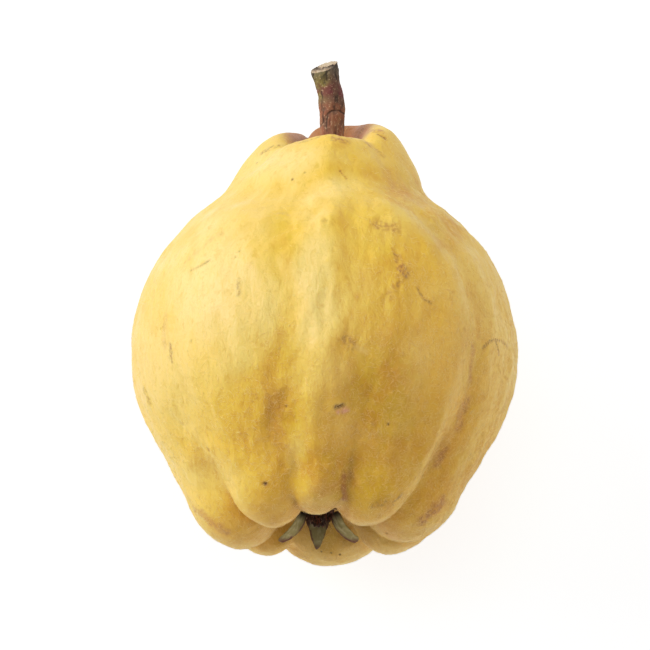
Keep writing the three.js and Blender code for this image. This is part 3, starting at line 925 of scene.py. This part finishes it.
def sepal_mesh(node):
    """A sepal: greyish green with paler veins, brown along its edge and at its tip, dark at its foot, and
    darkened by painted shade where it points down.
    """
    mesh = refined(node, 2)
    points, normals, _ = mesh_arrays(mesh)
    away = points - np.array([CALYX[0], 0, CORE_Z])
    turn = middle(node) - CALYX
    outward = np.array([turn[0], 0, turn[2]]) / math.hypot(turn[0], turn[2])
    sideways = np.cross(outward, [0, 1, 0])
    along = (points[:, 1].max() - points[:, 1]) / np.ptp(points[:, 1])
    across = away @ sideways
    step = np.clip((along * STEPS).astype(int), 0, STEPS - 1)
    widest = np.ones(STEPS)
    for index in np.unique(step):
        widest[index] = np.abs(across[step == index]).max()
    edge = np.abs(across) / np.maximum(widest[step], 0.2)
    veins = rough(points * np.array([1, 0.3, 1]), VEIN_SIZE, octaves=2)
    rise = SEPAL_RELIEF * veins + SEPAL_RELIEF * rough(points, UNEVEN_SIZE, offset=5)
    set_points(mesh, points + normals * rise[:, None])

    brown = ramp(edge + 0.3 * veins, 0.6, 0.92) + ramp(along, 0.82, 1.0)
    layers = [
        (SEPAL_VEIN, ramp(veins, 0.0, 0.4) * 0.65),
        (SEPAL_EDGE, brown * 0.9),
        (SEPAL_FOOT, (1 - ramp(along, 0.05, 0.4)) * 0.9),
    ]
    tint = painted(len(points), SEPAL_GREEN, layers)
    # Painted shade: the sepals that point down, towards the floor, are darker.
    tint *= 1 - 0.35 * ramp(-turn[2], 2.0, 5.0)
    set_values(mesh, "tint", tint)
    return mesh


def withered_mesh(node):
    """The cup or the styles: nearly black, with reddish spots."""
    mesh = refined(node, 1)
    points, _, _ = mesh_arrays(mesh)
    red = ramp(rough(points, 0.9, offset=3), 0.1, 0.5)
    set_values(mesh, "tint", painted(len(points), WITHERED, [(WITHERED_RED, red)]))
    return mesh


def filaments_mesh():
    """Dry threads in the mouth of the calyx."""
    turn = random.uniform(0, 2 * math.pi, THREADS)
    out = random.uniform(*THREAD_CIRCLE, THREADS)
    across = CALYX[0] + out * np.sin(turn)
    upward = CORE_Z + out * np.cos(turn)
    root = np.stack([across, np.full(THREADS, CALYX[1] + 0.2), upward], axis=1)
    lean = random.normal(0, THREAD_LEAN, (THREADS, 3)) * np.array([1, 0, 1])
    length = random.uniform(*THREAD_LENGTH, THREADS)[:, None] * np.array([[0, -1.0, 0]])
    middles = root + length * 0.5 + lean * 0.3
    thickness = random.uniform(*THREAD_THICKNESS, THREADS)
    mesh = strands(root, middles, root + length + lean, thickness)
    which = np.repeat(random.random(THREADS), STRAND_POINTS)
    layers = [(RED_THREAD, (which > 0.7) * 1.0), (PALE_THREAD, (which > 0.93) * 1.0)]
    set_values(mesh, "tint", painted(len(which), THREAD, layers))
    return mesh


# ---- Stage ----

# The floor: how far it reaches in metres, its grey, and its own light, which keeps it nearly white.
FLOOR_REACH = 60.0
FLOOR_GREY = 0.35
FLOOR_GLOW = 1.03


def make_floor():
    """A plain pale floor that reaches far beyond the fruit."""
    mesh = bpy.data.meshes.new("floor")
    reach = FLOOR_REACH
    corners = [(-reach, -reach, 0), (reach, -reach, 0), (reach, reach, 0), (-reach, reach, 0)]
    mesh.from_pydata(corners, [], [(0, 1, 2, 3)])
    floor = bpy.data.objects.new("floor", mesh)
    scene.collection.objects.link(floor)
    paper = Surface(
        "paper_floor",
        Roughness=0.9,
        Specular_IOR_Level=0.0,
        Base_Color=(FLOOR_GREY, FLOOR_GREY, FLOOR_GREY, 1),
        Emission_Color=(1, 1, 1, 1),
        Emission_Strength=FLOOR_GLOW,
    )
    mesh.materials.append(paper.material)


# Each lamp: its name, power, angular size in degrees, and the direction that its light comes from.
LAMPS = [
    ("key", 3.5, 45, (-0.8, 0.42, 0.45)),
    ("top", 1.5, 45, (0.03, 0.28, 0.95)),
    ("rim", 0.5, 40, (0.95, 0.1, 0.25)),
    ("fill", 0.3, 60, (0.2, -0.9, 0.3)),
]

# The colour of the lamps, and the colour and the strength of the weak glow from all round.
LAMP_COLOUR = (1.0, 0.985, 0.95)
WORLD_COLOUR = (1, 0.99, 0.97, 1)
WORLD_STRENGTH = 0.1


def make_light():
    """Wide soft lamps and a weak even glow from all round."""
    world = bpy.data.worlds.new("studio")
    world.use_nodes = True
    background = world.node_tree.nodes["Background"].inputs
    background["Color"].default_value = WORLD_COLOUR
    background["Strength"].default_value = WORLD_STRENGTH
    scene.world = world
    for name, power, spread, towards in LAMPS:
        lamp = bpy.data.lights.new(name, "SUN")
        lamp.energy = power
        lamp.angle = math.radians(spread)
        lamp.color = LAMP_COLOUR
        holder = bpy.data.objects.new(name, lamp)
        scene.collection.objects.link(holder)
        holder.rotation_mode = "QUATERNION"
        holder.rotation_quaternion = Vector(towards).to_track_quat("Z", "Y")


# The camera: its height over the horizon in degrees, and its distance in metres. In millimetres, the width
# that it sees at the core, how far right of the core and above it in the picture it looks, and its sensor's
# width.
CAMERA_ELEVATION = 80
CAMERA_DISTANCE = 1.6
VIEW_WIDTH = 143.3
LOOK_RIGHT = 0.33075
LOOK_UP = 4.41
SENSOR_WIDTH = 36


def make_camera():
    """A camera with a long lens that looks down on the fruit, with the stem at the top of the picture."""
    elevation = math.radians(CAMERA_ELEVATION)
    lens = bpy.data.cameras.new("camera")
    lens.sensor_width = SENSOR_WIDTH
    lens.lens = SENSOR_WIDTH * CAMERA_DISTANCE / (VIEW_WIDTH * MM)
    lens.clip_start, lens.clip_end = 0.05, 200
    camera = bpy.data.objects.new("camera", lens)
    scene.collection.objects.link(camera)
    scene.camera = camera
    back = Vector((0, -math.cos(elevation), math.sin(elevation)))
    up = Vector((0, math.sin(elevation), math.cos(elevation)))
    centre = Vector((CORE_X + LOOK_RIGHT, CORE_Y, CORE_Z)) * MM
    camera.location = centre + up * (LOOK_UP * MM) + back * CAMERA_DISTANCE
    camera.rotation_mode = "QUATERNION"
    camera.rotation_quaternion = back.to_track_quat("Z", "Y")


# The camera's tones: the brightness of the light, and how bright it is shown. TONE_WHITE is where the curve
# ends.
TONE_CURVE = [(0.3, 0.28), (0.5, 0.475), (0.7, 0.64), (0.95, 0.79), (1.1, 0.89), (1.2, 0.955), (1.28, 0.998)]
TONE_WHITE = 2


def make_tone():
    """The soft shoulder of a camera: bright tones are compressed instead of clipped."""
    view = scene.view_settings
    view.view_transform = "Standard"
    view.use_curve_mapping = True
    mapping = view.curve_mapping
    mapping.white_level = (TONE_WHITE, TONE_WHITE, TONE_WHITE)
    all_channels = mapping.curves[3]
    all_channels.points[1].location = (1.0, 1.0)
    for light, tone in TONE_CURVE:
        all_channels.points.new(light / TONE_WHITE, tone)
    mapping.update()


# ---- Everything ----

fruit, down_weights = fruit_mesh()
link("skin", fruit, skin_material(), replaces=["fruit"])
downy = down_material()
for name, count, lengths, gathering in DOWN_LAYERS:
    link(name, down_mesh(fruit, down_weights ** gathering, count, lengths), downy)
bark = tinted_material("bark", 0.5, 0.8, 0.06, stretch=(1, 0.4, 1))
link("stalk", stem_mesh(), bark, replaces=["stem"])
dry = tinted_material("withered", 0.4, 0.85, 0.05)
leafy = tinted_material("sepal", 0.5, 0.75, 0.05)
for number in range(1, 6):
    node = f"sepal_{number}"
    link(f"sepal_leaf_{number}", sepal_mesh(node), leafy, replaces=[node])
link("cup", withered_mesh("calyx_cup"), dry, replaces=["calyx_cup"])
link("dry_styles", withered_mesh("styles"), dry, replaces=["styles"])
link("filaments", filaments_mesh(), dry)

make_floor()
make_light()
make_camera()
make_tone()
